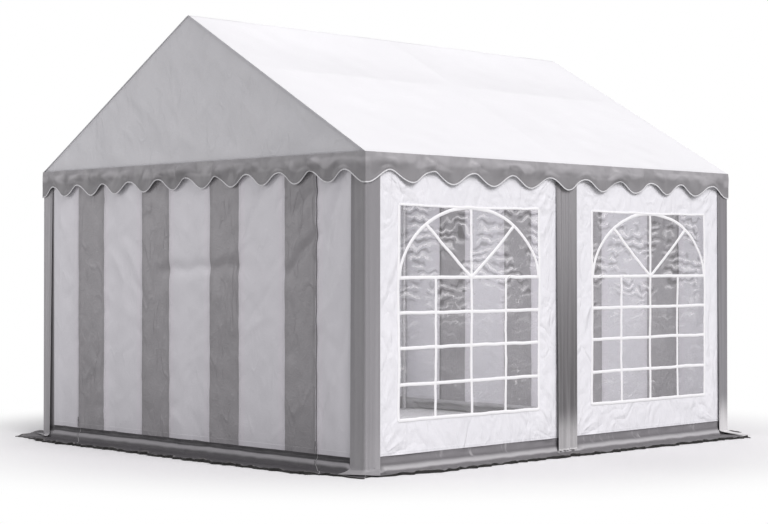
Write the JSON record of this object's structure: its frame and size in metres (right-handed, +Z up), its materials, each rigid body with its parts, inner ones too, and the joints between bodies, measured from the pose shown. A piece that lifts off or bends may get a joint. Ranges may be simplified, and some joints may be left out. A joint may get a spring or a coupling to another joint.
{
  "type": "marquee tent",
  "caption": "Garden party marquee: a ridge roof and striped and windowed fabric walls over a steel tube frame.",
  "frame": {"origin": "on the ground at the middle of the tent's footprint", "axes": "+Y from the front gable to the back gable along the ridge, +X to the right-hand side wall, +Z up"},
  "size_m": [4.05, 4.45, 3.11],
  "materials": {
    "galvanised_steel": "galvanised",
    "white_fabric": "coated, satin",
    "striped_fabric": "coated, satin",
    "grey_fabric": "coated, satin",
    "clear_film": "clear, glossy"
  },
  "bodies": {
    "root": {"post_front_left": "galvanised_steel", "post_front_right": "galvanised_steel", "post_middle_left": "galvanised_steel", "post_middle_right": "galvanised_steel", "post_back_left": "galvanised_steel", "post_back_right": "galvanised_steel", "eave_rail_left": "galvanised_steel", "eave_rail_right": "galvanised_steel", "rafters_front": "galvanised_steel", "rafters_middle": "galvanised_steel", "rafters_back": "galvanised_steel", "ridge_rail_front": "galvanised_steel", "ridge_rail_back": "galvanised_steel", "gable_tie_front": "galvanised_steel", "gable_tie_back": "galvanised_steel", "purlin_left": "galvanised_steel", "purlin_right": "galvanised_steel", "roof_cover": "white_fabric", "gable_panel_front": "white_fabric", "gable_panel_back": "white_fabric", "left_wall_front": "white_fabric", "left_wall_back": "white_fabric", "right_wall_front": "white_fabric", "right_wall_back": "white_fabric", "front_wall_left": "striped_fabric", "front_door_panel": "striped_fabric", "front_wall_right": "striped_fabric", "back_wall_left": "striped_fabric", "back_door_panel": "striped_fabric", "back_wall_right": "striped_fabric", "left_window_front": "clear_film", "left_window_back": "clear_film", "right_window_front": "clear_film", "right_window_back": "clear_film", "valance": "grey_fabric", "skirt_front": "grey_fabric", "skirt_back": "grey_fabric", "skirt_left": "grey_fabric", "skirt_right": "grey_fabric", "corner_sleeve_front_left": "grey_fabric", "corner_sleeve_front_right": "grey_fabric", "corner_sleeve_back_left": "grey_fabric", "corner_sleeve_back_right": "grey_fabric", "post_cover_left": "grey_fabric", "post_cover_right": "grey_fabric"}
  },
  "joints": []
}
